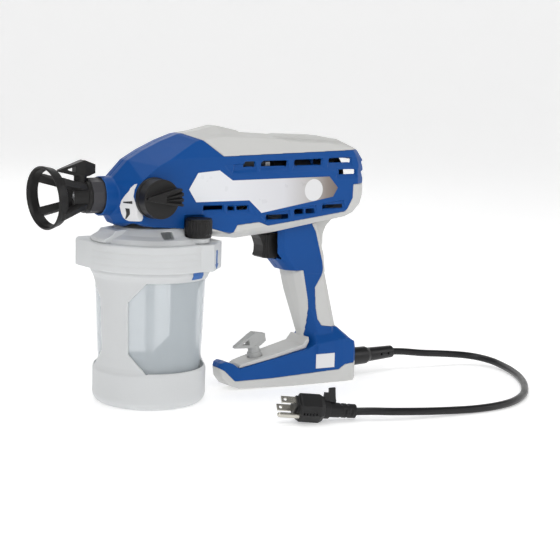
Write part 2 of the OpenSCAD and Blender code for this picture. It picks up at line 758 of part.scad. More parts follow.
module cup_cover() color(frost) difference() {
  union() {
    rotate_extrude($fn = 96) polygon([[20, 133.2], [54.8, 133.2], [54.8, 145.4], [50.6, 145.4], [50.6, 149.9],
      [47.6, 153.4], [40, 156.2], [33, 162.4], [20, 162.4]]);
    // front wall of the pump bay, flared at its foot
    hull() {
      cylz(27, 161, 162.6, 0, -2);
      cylz(33, 150, 152, 0, -13);
    }
    // front wing
    intersection() {
      plate([[-56, 149.9], [-54, 153], [-46, 157], [-43, 160], [-33, 161.2], [-18, 161.4], [-18, 149.9]], -13, 16);
      cylz(56, 140, 170, 0, 0);
    }
    // spout of the vent valve
    cylz(10, 149.9, 154.4, 26, -40);
  }
  // hollow underneath
  difference() {
    rotate_extrude($fn = 96) polygon([[18, 132], [52.4, 132], [52.4, 143.4], [48.4, 143.4], [48.4, 148.8], [46.2, 151.4], [39, 154],
      [31.6, 160.6], [18, 160.6]]);
    cylz(14.2, 152.7, 170, 26, -40);
  }
  // pocket of the vent valve's cap, with its spout in the middle
  cylz(12.8, 154.5, 175, 26, -40);
  cylz(11.1, 130, 170, 0, 0);
  // window in the front wall
  rotate([0, 0, -8]) bx(-5, 6, -49, -26, 153.9, 159.6);
  cylz(5.06, 150.9, 160, 26, -40);
}
module vent_valve_cap() color(coal) translate([26, -40, 0]) {
  difference() {
    union() {
      cylz(11.7, 154.8, 171.6, 0, 0);
      cylz(12.3, 158.2, 170, 0, 0);
    }
    for (a = [0:15:345]) rotate([0, 0, a]) translate([12.4, 0, 165]) cube([1.2, 1.3, 20], center = true);
    cylz(9, 154, 158, 0, 0);
  }
  cylz(5, 151.1, 160, 0, 0);
}
module lid_gasket() color("#3c3e42") difference() {
  cylz(53.8, 131.3, 133.2, 0, 0);
  cylz(49.9, 130, 134, 0, 0);
}
// Ear of the collar, seen from above, that runs into the ring as a tangent
module ear(r, a, wide, lead) {
  q = collar_r - 0.1;
  linear_extrude(149 - 124.7) polygon([[50 * cos(a + wide), 50 * sin(a + wide)], [q * cos(a + lead), q * sin(a + lead)],
    [r * cos(a), r * sin(a)], [r * cos(a - wide), r * sin(a - wide)], [q * cos(a - wide - 10), q * sin(a - wide - 10)],
    [50 * cos(a - wide), 50 * sin(a - wide)]]);
}
module collar() color(frost) difference() {
  union() {
    let (r = collar_r) rotate_extrude($fn = 96) polygon([[51, 149.4], [r - 1.3, 149.4], [r, 148], [r, 143], [r - 0.5, 142.4],
      [r, 141.8], [r, 137.4], [r - 0.5, 136.8], [r, 136.2], [r, 131.8], [r - 0.5, 131.2], [r, 130.6],
      [r, 125.4], [r - 0.7, 124.7], [55.2, 124.7], [55.2, 145.8], [51, 145.8]]);
    difference() {
      translate([0, 0, 124.7]) {
        ear(lug_r + 0.8, 150, 11, 26);
        ear(lug_r - 3, -30.5, 28.5, 16);
      }
      cylz(56, 120, 160, 0, 0, 96);
    }
  }
}
module lug_arrow() color("#1f5f9e") rotate([0, 0, -44.75]) translate([(lug_r - 3) * cos(14.25), 0, 0]) rotate([90, 0, 90]) linear_extrude(0.4)
  polygon([[-6, 142.8], [-6, 130.4], [-9, 130.4], [-4, 125.6], [1, 130.4], [-2, 130.4], [-2, 142.8]]);
module rim_tick() color("#1f5f9e") intersection() {
  rotate_extrude($fn = 96) polygon([[53.2, 118.2], [54.84, 121.35], [54.84, 124.3], [55.16, 124.3], [55.16, 121.3], [53.5, 118.05]]);
  rotate([0, 0, -68]) bx(48, 70, -7.4, 7.4, 115, 140);
}
module cup_liner() color([0.8, 0.83, 0.86, 0.6]) rotate_extrude($fn = 96)
  polygon([[0, 3.4], [42, 3.4], [46, 7], [46.8, 36], [48.2, 60], [50.3, 112], [50.7, 119], [50.8, 123.5],
    [50.8, 129.2], [53.9, 129.2], [53.9, 131.2], [49.6, 131.2], [49.6, 123.6], [49.5, 119.2], [49.1, 112],
    [47, 60], [45.6, 36], [44.8, 7.6], [41.4, 4.6], [0, 4.6]]);
// Stepped corner of a window, cut by prisms that point outwards
module win_corner(a, z, up) {
  rotate([0, 0, a]) translate([30, 0, 0]) rotate([90, 0, 90]) linear_extrude(40)
    polygon([[-9, z], [9.4, z], [9.4, z + up * 17.4], [7.4, z + up * 17.4]]);
}
module cup_window(a0) {
  w = 180 - pillar_angle;
  rotate([0, 0, a0]) {
    rotate_extrude(angle = w, $fn = 96) translate([38, 51]) square([30, 48]);
    rotate([0, 0, 21]) rotate_extrude(angle = w - 42, $fn = 96) translate([38, tub_h]) square([30, 116 - tub_h]);
    win_corner(10.5, 98.6, 1);
    mirror([0, 1, 0]) win_corner(10.5 - w, 98.6, 1);
    win_corner(10.5, 51.4, -1);
    mirror([0, 1, 0]) win_corner(10.5 - w, 51.4, -1);
  }
}
module cup_support() color(frost) difference() {
  rotate_extrude($fn = 96) polygon(concat(
    [[0, 0]],
    [for (a = [0:15:90]) [tub_r - 8.5 + 8.5 * sin(a), 8.5 - 8.5 * cos(a)]],
    [[tub_r, tub_h - 3], [tub_r - 0.8, tub_h - 0.6], [50.4, tub_h + 3], [49.4, 46], [49.9, 60], [52, 112], [52.5, 117],
     [54.8, 121.4], [54.8, 129], [51.3, 129], [51.3, 124], [51.1, 117.6], [50.7, 112], [48.6, 60],
     [47.8, 46], [47.5, 37], [50.2, tub_h - 1], [50.2, 9], [44.6, 3], [0, 3]]));
  cup_window(-142);
  cup_window(38);
}

// ------------------------------------------------- spare tip, cord and plug

module spare_tip() color("#b3b5b6") spare_at()
  translate([0, 0, -9.8]) difference() {
    union() {
      cylz(7, -8, 12.6);
      cylz(5.7, 12, 19);
      translate([0, 0, 17.4]) arrow_handle();
    }
    cylx(4.05, -8, 8, 0, 0);
  }

cord_path = [[284, 0, 18.6], [300, -3, 17.4], [320, -8, 15], [340, -11.5, 13.2], [357, -15.5, 11.6], [371, -20.5, 10], [381, -29, 8.4],
  [386.5, -42, 6.8], [386.5, -56, 5.4], [381, -78, 4.3], [369, -103, 3.8], [350, -130, 3.7], [322, -159, 3.7],
  [292, -177.5, 3.7], [264, -184.5, 3.7], [238, -184, 3.7], [214, -180.8, 4.4], [190, -177.2, 5.6], [169, -173, 6.8],
  [152, -167.8, 7.6], [136.5, -160.6, 8.1], [121.4, -152.5, 7.8]];
plug_a = 164;

module cord_boot() color(coal) difference() {
  union() {
    cylx(7.2, 218, 228.6, 0, 18);
    cylx(9.6, 215.6, 218.2, 0, 18);
    translate([226.2, 0, 18]) rotate([0, 90, 0]) cylinder(r1 = 9.4, r2 = 8.8, h = 24.4);
    translate([250.5, 0, 18]) rotate([0, 90, 0]) cylinder(r1 = 8.8, r2 = 7.2, h = 4);
    translate([254.4, 0, 18]) rotate([0, 89, 0]) cylinder(r1 = 7.2, r2 = 6.2, h = 30.4);
  }
  for (x = [268, 277]) cyly(1.1, -20, 20, x, 18.4, 24);
  bx(200, 215.6, -12, 12, 0, 40);
}
module power_cord() color(coal) tube(smooth(cord_path, 2), cord_r, 10);

// Plug: blades point along local +X, ground pin towards local -Z
plug_c = [82.9, -141.4, 12.6];
module plug_ax() { translate(plug_c) rotate([0, 0, plug_a]) rotate([0, -6.3, 0]) children(); }
module plug_at() { plug_ax() rotate([46, 0, 0]) children(); }
// Cross-section of the plug: wide across, narrower towards the pin
module plug_sec(k, x, h) {
  translate([x, 0, 0]) rotate([0, 90, 0]) linear_extrude(h)
    polygon([[-8 * k, -11.6 * k], [5.4 * k, -11.6 * k], [12 * k, -5.4 * k], [12 * k, 5.4 * k], [5.4 * k, 11.6 * k],
      [-8 * k, 11.6 * k], [-10 * k, 9.6 * k], [-10 * k, -9.6 * k]]);
}
module plug_body() color(coal) {
  plug_at() difference() {
    union() {
      hull() {
        plug_sec(0.96, -6.8, 18.2);
        plug_sec(0.88, 11.4, 1.2);
        plug_sec(0.57, -16.6, 1);
      }
      // raised base round the blades
      intersection() {
        plug_sec(0.78, 11, 4.4);
        translate([0, -20, -3.4]) cube([30, 40, 30]);
      }
    }
    // groove along two edges and finger ribs between them
    for (m = [-1, 1]) {
      translate([3.4, m * 10.2, -8.6]) rotate([m * 45, 0, 0]) cube([16.6, 5.4, 2.4], center = true);
    }
    for (i = [-2:2]) translate([3.4 + 2.9 * i, 0, -10.2]) cube([1, 14, 2], center = true);
    // seat of the keeper strap
    rotate([-46, 0, 0]) translate([-16.5, 0, 0]) rotate([0, 90, 0]) cylinder(r = 12, h = 5.9);
  }
  // strain relief
  plug_ax() difference() {
    translate([-42, 0, 0]) rotate([0, 90, 0]) cylinder(r1 = 6.3, r2 = 6.9, h = 32.4);
    for (i = [0:1]) for (m = [-1, 1]) {
      translate([-37.2 + 6.1 * i, m * 7.2, 0]) cube([2.4, 4, 10], center = true);
      translate([-34.2 + 6.1 * i, 0, m * 7.2]) cube([2.2, 10, 4], center = true);
    }
  }
}
module plug_blades() color(steel) plug_at() for (m = [-1, 1]) difference() {
  translate([15.3, m * 6.35 - 0.75, 0.25]) cube([13.7, 1.5, 6.3]);
  translate([25.6, m * 6.35, 3.4]) rotate([90, 0, 0]) cylinder(r = 1.5, h = 8, center = true, $fn = 24);
}
module ground_pin() color(steel) plug_at() translate([12.5, 0, -8.5]) rotate([0, 90, 0]) {
  cylinder(r = 2.4, h = 17.5);
  translate([0, 0, 17.5]) sphere(r = 2.4);
}
// Keeper strap: a band round the strain relief with an upright tab
module plug_strap() color(coal) plug_ax() {
  difference() {
    union() {
      translate([-16.4, 0, 0]) rotate([0, 90, 0]) cylinder(r = 8.3, h = 5.7);
      translate([-22.8, -1.4, 6.6]) cube([8, 2.8, 3]);
      translate([-22.8, -1.4, 6.6]) rotate([0, 10, 0]) cube([6, 2.8, 14]);
      translate([-15.8, -1.8, 7]) cube([4.8, 3.6, 8.2]);
    }
    translate([-30, 0, 0]) rotate([0, 90, 0]) cylinder(r = 6.95, h = 20);
  }
}
module housing_screws() color(steel) for (s = screws) difference() {
  union() {
    cyly(3.1, s[2] - 1.9, s[2] + 0.1, s[0], s[1], 32);
    cyly(1.6, 1, s[2] - 1, s[0], s[1], 32);
  }
  translate([s[0], s[2], s[1]]) cube([3.4, 1.4, 0.8], center = true);
  translate([s[0], s[2], s[1]]) cube([0.8, 1.4, 3.4], center = true);
}

housing_left();
housing_right();
top_cover();
rear_cover();
grip_front();
grip_rear();
foot_base();
side_label_left();
side_label_right();
knob_label();
foot_label();
trigger();
trigger_spring();
trigger_switch();
switch_plunger();
prime_knob();
prime_stem();
retaining_nut();
tip_guard();
spray_tip();
tip_insert();
tip_seal();
pump_block();
outlet_ball();
outlet_spring();
inlet_seat();
inlet_ball();
suction_tube();
inlet_strainer();
piston();
piston_spring();
swash_cam();
drive_gear();
gear_plate();
ball_bearings();
motor_can();
motor_armature();
motor_fan();
power_board();
cup_cover();
vent_valve_cap();
lid_gasket();
collar();
lug_arrow();
rim_tick();
cup_liner();
cup_support();
spare_tip();
cord_boot();
power_cord();
plug_body();
plug_blades();
ground_pin();
plug_strap();
housing_screws();
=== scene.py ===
import json
import math
import bpy
import bmesh
import numpy as np
from mathutils import Matrix, Vector
from mathutils.bvhtree import BVHTree
from mathutils.geometry import delaunay_2d_cdt

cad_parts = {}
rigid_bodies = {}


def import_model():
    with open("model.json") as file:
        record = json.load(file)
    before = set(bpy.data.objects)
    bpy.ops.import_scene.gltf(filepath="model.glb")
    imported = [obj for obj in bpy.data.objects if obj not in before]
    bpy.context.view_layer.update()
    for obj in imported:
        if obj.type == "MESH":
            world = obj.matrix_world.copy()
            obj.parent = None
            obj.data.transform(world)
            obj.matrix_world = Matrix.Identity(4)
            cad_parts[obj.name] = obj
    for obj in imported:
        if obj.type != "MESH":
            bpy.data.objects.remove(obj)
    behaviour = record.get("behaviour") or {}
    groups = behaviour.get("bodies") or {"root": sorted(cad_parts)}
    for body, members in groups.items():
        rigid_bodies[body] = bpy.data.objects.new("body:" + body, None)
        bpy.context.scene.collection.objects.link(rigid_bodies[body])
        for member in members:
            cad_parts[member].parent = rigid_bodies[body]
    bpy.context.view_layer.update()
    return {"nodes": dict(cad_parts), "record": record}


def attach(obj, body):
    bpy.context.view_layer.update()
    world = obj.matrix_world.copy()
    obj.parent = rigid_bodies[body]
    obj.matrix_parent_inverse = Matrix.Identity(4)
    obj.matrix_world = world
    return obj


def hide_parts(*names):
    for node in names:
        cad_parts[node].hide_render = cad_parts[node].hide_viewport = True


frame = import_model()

NODES = frame["nodes"]
MM = 0.001
scene = bpy.context.scene


# ------------------------------------------------------------------ camera
def camera():
    yaw, pitch, roll = math.radians(34.6), math.radians(9.0), math.radians(1.7)
    rt = Vector((math.cos(yaw), -math.sin(yaw), 0))
    fw = Vector((math.sin(yaw) * math.cos(pitch), math.cos(yaw) * math.cos(pitch), -math.sin(pitch)))
    up = rt.cross(fw)
    r2 = rt * math.cos(roll) + up * math.sin(roll)
    u2 = up * math.cos(roll) - rt * math.sin(roll)
    data = bpy.data.cameras.new("view_camera")
    data.sensor_width = 36
    data.lens = 1500 / 560 * 36
    data.clip_start, data.clip_end = 0.05, 60
    cam = bpy.data.objects.new("view_camera", data)
    scene.collection.objects.link(cam)
    m = Matrix.Identity(4)
    for i in range(3):
        m[i][0], m[i][1], m[i][2] = r2[i], u2[i], -fw[i]
    m[0][3], m[1][3], m[2][3] = -0.67123, -1.18151, 0.3294
    cam.matrix_world = m
    scene.camera = cam


camera()


# ------------------------------------------------------------------ materials
def srgb(h):
    h = h.lstrip("#")
    out = []
    for i in (0, 2, 4):
        c = int(h[i:i + 2], 16) / 255
        out.append(c / 12.92 if c <= 0.04045 else ((c + 0.055) / 1.055) ** 2.4)
    return (*out, 1.0)


def tone(c, k):
    return (min(c[0] * k, 1), min(c[1] * k, 1), min(c[2] * k, 1), 1.0)


def material(name, colour, rough=0.4, rough_var=0.05, vary=0.05, grain=0.03, grain_scale=900.0,
             metallic=0.0, spec=0.5, coat=0.0, coat_rough=0.1, trans=0.0, sub=0.0, sub_radius=0.004,
             edge_wear_and_highlight=0.0, edge_wear_and_highlight_colour=None, ior=1.5, large=14.0, alpha=1.0):
    """A moulded or machined finish: slight mottling, roughness that wanders, fine grain, convex edges lightened, partly
    as wear and partly as a painted highlight.
    """
    m = bpy.data.materials.new(name)
    m.use_nodes = True
    nt = m.node_tree
    n, l = nt.nodes, nt.links
    b = n["Principled BSDF"]
    col = srgb(colour) if isinstance(colour, str) else colour
    pos = n.new("ShaderNodeTexCoord")
    big = n.new("ShaderNodeTexNoise")
    big.inputs["Scale"].default_value = large
    big.inputs["Detail"].default_value = 3
    l.new(pos.outputs["Object"], big.inputs["Vector"])
    ramp = n.new("ShaderNodeValToRGB")
    ramp.color_ramp.elements[0].position = 0.3
    ramp.color_ramp.elements[1].position = 0.7
    ramp.color_ramp.elements[0].color = tone(col, 1 - vary)
    ramp.color_ramp.elements[1].color = tone(col, 1 + vary)
    l.new(big.outputs["Fac"], ramp.inputs["Fac"])
    out = ramp.outputs["Color"]
    # Convex edges (by pointiness) are mixed towards a lighter colour: partly edge wear, partly a painted highlight
    # where light catches the edges.
    if edge_wear_and_highlight:
        geo = n.new("ShaderNodeNewGeometry")
        edge = n.new("ShaderNodeMapRange")
        edge.inputs["From Min"].default_value = 0.52
        edge.inputs["From Max"].default_value = 0.62
        l.new(geo.outputs["Pointiness"], edge.inputs["Value"])
        amount = n.new("ShaderNodeMath")
        amount.operation = "MULTIPLY"
        amount.inputs[1].default_value = edge_wear_and_highlight
        l.new(edge.outputs["Result"], amount.inputs[0])
        mix = n.new("ShaderNodeMix")
        mix.data_type = "RGBA"
        l.new(amount.outputs["Value"], mix.inputs["Factor"])
        l.new(out, mix.inputs[6])
        mix.inputs[7].default_value = srgb(edge_wear_and_highlight_colour) if edge_wear_and_highlight_colour else tone(col, 1.5)
        out = mix.outputs[2]
    l.new(out, b.inputs["Base Color"])
    mid = n.new("ShaderNodeTexNoise")
    mid.inputs["Scale"].default_value = large * 6
    mid.inputs["Detail"].default_value = 4
    l.new(pos.outputs["Object"], mid.inputs["Vector"])
    rr = n.new("ShaderNodeMapRange")
    rr.inputs["From Min"].default_value = 0.3
    rr.inputs["From Max"].default_value = 0.7
    rr.inputs["To Min"].default_value = max(rough - rough_var, 0.02)
    rr.inputs["To Max"].default_value = min(rough + rough_var, 1)
    l.new(mid.outputs["Fac"], rr.inputs["Value"])
    l.new(rr.outputs["Result"], b.inputs["Roughness"])
    if grain:
        fine = n.new("ShaderNodeTexNoise")
        fine.inputs["Scale"].default_value = grain_scale
        fine.inputs["Detail"].default_value = 2
        l.new(pos.outputs["Object"], fine.inputs["Vector"])
        bump = n.new("ShaderNodeBump")
        bump.inputs["Strength"].default_value = grain
        bump.inputs["Distance"].default_value = 0.0006
        l.new(fine.outputs["Fac"], bump.inputs["Height"])
        l.new(bump.outputs["Normal"], b.inputs["Normal"])
    b.inputs["Metallic"].default_value = metallic
    b.inputs["Specular IOR Level"].default_value = spec
    b.inputs["IOR"].default_value = ior
    b.inputs["Coat Weight"].default_value = coat
    b.inputs["Coat Roughness"].default_value = coat_rough
    b.inputs["Transmission Weight"].default_value = trans
    b.inputs["Alpha"].default_value = alpha
    if sub:
        b.inputs["Subsurface Weight"].default_value = sub
        b.inputs["Subsurface Radius"].default_value = (1.0, 1.0, 1.0)
        b.inputs["Subsurface Scale"].default_value = sub_radius
    return m


# The lighter edge colours below are partly wear and partly a painted highlight on the edges; on the blue the lighter
# edge is mainly a painted highlight.
M = {
    "blue": material("blue_moulded", "#06488e", 0.38, 0.04, 0.04, 0.05, 1400, spec=0.2, edge_wear_and_highlight=0.5, edge_wear_and_highlight_colour="#3f80c2"),
    "grey": material("grey_moulded", "#c6c6c4", 0.5, 0.05, 0.02, 0.06, 1400, spec=0.4, edge_wear_and_highlight=0.2, edge_wear_and_highlight_colour="#dededc"),
    "black": material("black_moulded", "#171616", 0.42, 0.06, 0.12, 0.06, 1200, spec=0.3, edge_wear_and_highlight=0.35, edge_wear_and_highlight_colour="#45423f"),
    "nut": material("nut_moulded", "#37363a", 0.46, 0.05, 0.08, 0.05, 1200, spec=0.45, edge_wear_and_highlight=0.3, edge_wear_and_highlight_colour="#5c5a5c"),
    "label": material("silver_film", "#e4e4e6", 0.3, 0.03, 0.015, 0.01, 600, spec=0.5, coat=0.3),
    "white_film": material("white_film", "#dededf", 0.35, 0.03, 0.015, 0.01, 600, spec=0.5, coat=0.2),
    "mark_blue": material("printed_blue", "#1f5fa8", 0.4, 0.03, 0.05, 0.01, 600),
    "mark_black": material("printed_black", "#17171a", 0.4, 0.03, 0.05, 0.01, 600),
    "frost": material("frosted_shell", "#dcdedf", 0.44, 0.04, 0.015, 0.03, 500, spec=0.4, trans=0.16, sub=0.35, sub_radius=0.006),
    "liner": material("milky_liner", "#d6dee3", 0.4, 0.04, 0.01, 0.0, 300, spec=0.4, alpha=0.36),
    "tube": material("clear_tube", "#e4e8ea", 0.25, 0.03, 0.01, 0.01, 300, spec=0.4, alpha=0.22),
    "white": material("white_moulded", "#dcdcd8", 0.5, 0.05, 0.02, 0.04, 900),
    "gasket": material("gasket_rubber", "#2c2d30", 0.7, 0.05, 0.1, 0.08, 900, spec=0.3),
    "tip_grey": material("tip_grey", "#a9aaa9", 0.48, 0.05, 0.03, 0.05, 1100, spec=0.45, edge_wear_and_highlight=0.3, edge_wear_and_highlight_colour="#cfd0cf"),
    "vinyl": material("cord_vinyl", "#101012", 0.33, 0.05, 0.12, 0.04, 1100, spec=0.4),
    "plug": material("plug_vinyl", "#151516", 0.42, 0.06, 0.12, 0.06, 1100, spec=0.35, edge_wear_and_highlight=0.2, edge_wear_and_highlight_colour="#383838"),
    "nickel": material("nickel_blade", "#c9c6bd", 0.22, 0.06, 0.05, 0.03, 500, metallic=1.0),
    "steel": material("ground_steel", "#b4b6b8", 0.3, 0.08, 0.06, 0.04, 700, metallic=1.0),
    "alloy": material("cast_alloy", "#a2a5a9", 0.45, 0.08, 0.06, 0.1, 500, metallic=1.0),
    "brass": material("turned_brass", "#b5934a", 0.3, 0.06, 0.06, 0.03, 700, metallic=1.0),
    "copper": material("wound_copper", "#8f5230", 0.4, 0.08, 0.1, 0.1, 500, metallic=1.0),
    "board": material("board_green", "#1d5a34", 0.4, 0.05, 0.1, 0.04, 600),
    "red": material("plunger_red", "#9b2620", 0.45, 0.05, 0.05, 0.04, 900),
    "orange": material("seal_orange", "#a9662a", 0.4, 0.05, 0.05, 0.04, 900),
    "dark": material("dark_moulded", "#222326", 0.5, 0.05, 0.08, 0.05, 900),
}



def gradient_film(name, stops, x0, x1):
    """A film whose colour runs along X."""
    m = material(name, "#e6e7ea", 0.3, 0.03, 0.0, 0.01, 600, spec=0.5, coat=0.3)
    nt = m.node_tree
    n, l = nt.nodes, nt.links
    co = n.new("ShaderNodeTexCoord")
    sep = n.new("ShaderNodeSeparateXYZ")
    l.new(co.outputs["Object"], sep.inputs["Vector"])
    along = n.new("ShaderNodeMapRange")
    along.inputs["From Min"].default_value = x0
    along.inputs["From Max"].default_value = x1
    l.new(sep.outputs["X"], along.inputs["Value"])
    ramp = n.new("ShaderNodeValToRGB")
    e = ramp.color_ramp.elements
    e[0].position, e[0].color = stops[0][0], srgb(stops[0][1])
    e[1].position, e[1].color = stops[-1][0], srgb(stops[-1][1])
    for at_, c in stops[1:-1]:
        k = e.new(at_)
        k.color = srgb(c)
    l.new(along.outputs["Result"], ramp.inputs["Fac"])
    l.new(ramp.outputs["Color"], n["Principled BSDF"].inputs["Base Color"])
    return m


M["label"] = gradient_film("silver_film_shaded", [(0.0, "#e3e5e8"), (0.25, "#dfe0e4"), (0.62, "#d3d3d7"), (0.8, "#b5b2b1"),
                                                  (0.92, "#857b75"), (1.0, "#6e6059")], 0.0185, 0.185)

NODE_MAT = {
    "housing_left": "blue", "housing_right": "blue", "top_cover": "grey", "rear_cover": "grey", "grip_front": "grey",
    "grip_rear": "grey", "foot_base": "grey", "side_label_left": "label", "side_label_right": "label",
    "knob_label": "white_film", "foot_label": "white_film", "trigger": "black", "trigger_spring": "steel",
    "trigger_switch": "dark", "switch_plunger": "red", "prime_knob": "black", "prime_stem": "steel",
    "retaining_nut": "nut", "tip_guard": "black", "spray_tip": "black", "tip_insert": "steel", "tip_seal": "orange",
    "pump_block": "alloy", "outlet_ball": "steel", "outlet_spring": "steel", "inlet_seat": "brass", "inlet_ball": "steel",
    "suction_tube": "tube", "inlet_strainer": "white", "piston": "steel", "piston_spring": "steel", "swash_cam": "steel",
    "drive_gear": "steel", "gear_plate": "alloy", "ball_bearings": "steel", "motor_can": "dark", "motor_armature": "copper",
    "motor_fan": "dark", "power_board": "board", "cup_cover": "frost", "vent_valve_cap": "black", "lid_gasket": "gasket",
    "collar": "frost", "lug_arrow": "mark_blue", "rim_tick": "mark_blue", "cup_liner": "liner", "cup_support": "frost",
    "spare_tip": "tip_grey", "cord_boot": "vinyl", "power_cord": "vinyl", "plug_body": "plug", "plug_blades": "nickel",
    "ground_pin": "nickel", "plug_strap": "plug", "housing_screws": "steel",
}
for node, key in NODE_MAT.items():
    o = NODES[node]
    o.data.materials.clear()
    o.data.materials.append(M[key])


# ------------------------------------------------------------------ mesh helpers
def link(name, me):
    o = bpy.data.objects.new(name, me)
    scene.collection.objects.link(o)
    return o


def baked(o):
    """Applies the modifiers of a new piece."""
    dg = bpy.context.evaluated_depsgraph_get()
    me = bpy.data.meshes.new_from_object(o.evaluated_get(dg))
    old = o.data
    o.modifiers.clear()
    o.data = me
    if old.users == 0:
        bpy.data.meshes.remove(old)
    return o


def welded_copy(node, name):
    src = NODES[node].data
    co = np.zeros(len(src.vertices) * 3)
    src.vertices.foreach_get("co", co)
    me = bpy.data.meshes.new(name)
    me.from_pydata(co.reshape(-1, 3).tolist(), [], [list(p.vertices) for p in src.polygons])
    bm = bmesh.new()
    bm.from_mesh(me)
    bmesh.ops.remove_doubles(bm, verts=bm.verts, dist=2e-6)
    bm.to_mesh(me)
    bm.free()
    return link(name, me)


def remesh(o, voxel):
    m = o.modifiers.new("r", "REMESH")
    m.mode = "VOXEL"
    m.voxel_size = voxel * MM
    m.use_smooth_shade = True
    return baked(o)


def smooth(o, times, factor=0.5):
    if times:
        m = o.modifiers.new("s", "SMOOTH")
        m.factor = factor
        m.iterations = times
        baked(o)
    return o


def thin(o, most):
    tris = sum(len(p.vertices) - 2 for p in o.data.polygons)
    if tris > most:
        m = o.modifiers.new("d", "DECIMATE")
        m.ratio = most / tris
        baked(o)
    return o


def shade(o, on=True):
    o.data.polygons.foreach_set("use_smooth", [on] * len(o.data.polygons))
    o.data.update()


def paint(o, key):
    o.data.materials.clear()
    o.data.materials.append(M[key])
    return o


BODY_OF = {n: b for b, ns in frame["record"]["behaviour"]["bodies"].items() for n in ns}


def stand_for(o, node, key=None):
    paint(o, key or NODE_MAT[node])
    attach(o, BODY_OF[node])
    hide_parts(node)
    return o


def closed(name, verts, faces):
    """A closed mesh in millimetres."""
    me = bpy.data.meshes.new(name)
    me.from_pydata([(x * MM, y * MM, z * MM) for x, y, z in verts], [], faces)
    bm = bmesh.new()
    bm.from_mesh(me)
    bmesh.ops.recalc_face_normals(bm, faces=bm.faces)
    bm.to_mesh(me)
    bm.free()
    return link(name, me)


def groove(lines, depths, side, out=38.0, face=33.0):
    """A cutter that lies on the flank: rows of (x, z) points from its upper to its lower edge, each with its depth."""
    n, rows = len(lines[0]), len(lines)
    vs, fs = [], []
    for pts, d in zip(lines, depths):
        for x, z in pts:
            vs.append((x, side * (face - d), z))
    for pts in lines:
        for x, z in pts:
            vs.append((x, side * out, z))
    off = rows * n
    for r in range(rows - 1):
        for i in range(n - 1):
            a, b, c, d = r * n + i, r * n + i + 1, (r + 1) * n + i + 1, (r + 1) * n + i
            fs.append((a, b, c, d))
            fs.append((off + a, off + d, off + c, off + b))
    for i in range(n - 1):
        fs.append((i, off + i, off + i + 1, i + 1))
        k = (rows - 1) * n
        fs.append((k + i, k + i + 1, off + k + i + 1, off + k + i))
    for r in range(rows - 1):
        a, b = r * n, (r + 1) * n
        fs.append((a, b, off + b, off + a))
        a, b = a + n - 1, b + n - 1
        fs.append((a, off + a, off + b, b))
    return closed("cutter", vs, fs)


def block(x0, x1, y0, y1, z0, z1):
    vs = [(x, y, z) for x in (x0, x1) for y in (y0, y1) for z in (z0, z1)]
    return closed("block", vs, [(0, 1, 3, 2), (4, 6, 7, 5), (0, 4, 5, 1), (2, 3, 7, 6), (0, 2, 6, 4), (1, 5, 7, 3)])


def carve(o, cutters, how="DIFFERENCE"):
    for c in cutters:
        m = o.modifiers.new("b", "BOOLEAN")
        m.operation = how
        m.solver = "MANIFOLD"
        m.object = c
    baked(o)
    for c in cutters:
        bpy.data.objects.remove(c)
    return o


def soften(node, voxel=0.6, times=4, most=120000, name=None, key=None, cuts=None, adds=None):
    """A moulded version of a node: every edge gets the small radius that a mould leaves."""
    o = welded_copy(node, name or node + "_moulded")
    k = 1.0
    remesh(o, voxel * k)
    if adds:
        carve(o, adds(), "UNION")
    if cuts:
        carve(o, cuts())
    if adds or cuts:
        remesh(o, voxel * k)
    smooth(o, max(1, int(times / k)))
    thin(o, most)
    shade(o)
    return stand_for(o, node, key)


def at(pts, x):
    """Height of a row of points at x."""
    for (x0, z0), (x1, z1) in zip(pts, pts[1:]):
        if x <= x1:
            return z0 + (z1 - z0) * (x - x0) / (x1 - x0)
    return pts[-1][1]


UP_TOP = [(56, 217.6), (75, 219), (130, 221.4), (176, 222.6), (204, 222.9), (236, 223.2)]
UP_FOOT = [(64.5, 208.6), (80, 208.8), (130, 209.4), (182, 210.4), (204, 210.6), (236, 210.8)]
LL_TOP = [(33.5, 182.6), (58, 181.8), (82.5, 181), (86, 180.8)]
LL_FOOT = [(36.5, 172.4), (58, 171.8), (85, 171), (93, 170.6)]
LR_TOP = [(97, 169.4), (101, 171.2), (150, 176.6), (192, 182), (200.5, 181.6)]
LR_FOOT = [(104.5, 162.6), (107, 163), (150, 167), (193, 171.4), (194, 171.8)]
UP_SLOTS = [(67.5, 90.4), (97.2, 126.4), (134.4, 166.2), (174.4, 200)]
LL_SLOTS = [(36, 56.2), (61.8, 83.4)]
LR_SLOTS = [(104.2, 129.8), (136.2, 160.2), (168.8, 192.8)]


def channel_cuts(side):
    """Shallow channel with a deeper pocket at each slot; the pocket's floor slants out below the slot."""
    out = []
    for top, foot, slots, h, edge in ((UP_TOP, UP_FOOT, UP_SLOTS, 6.2, 0.5), (LL_TOP, LL_FOOT, LL_SLOTS, 5.0, 0.45),
                                      (LR_TOP, LR_FOOT, LR_SLOTS, 5.2, 0.45)):
        out.append(groove([top, [(x, z + 0.5) for x, z in foot], foot], [edge, edge, 0.0], side))
        for x0, x1 in slots:
            a, b = x0 - 1.4, x1 + 1.4
            rows = [[(x0 - 0.4, at(top, x0) - 0.2), (x1 + 0.4, at(top, x1) - 0.2)], [(a, at(top, a) - h), (b, at(top, b) - h)],
                    [(a - 1.6, at(foot, a) + 1.3), (b + 1.6, at(foot, b) + 1.3)]]
            out.append(groove(rows, [1.9, 1.9, 0.3], side))
    # second row of slots at the rear
    rows = [[(184.8, 211.2), (206.4, 210.9)], [(184, 206.4), (207, 206.1)], [(181.6, 202.6), (210, 202.4)]]
    out.append(groove(rows, [1.9, 1.9, 0.2], side))
    return out


def dividers(side):
    y0, y1 = (-31.6, -28) if side < 0 else (28, 31.6)
    return [block(69.6, 71.6, y0, y1, 175.5, 181.5), block(147.4, 149.6, y0, y1, 169.5, 175.5)]


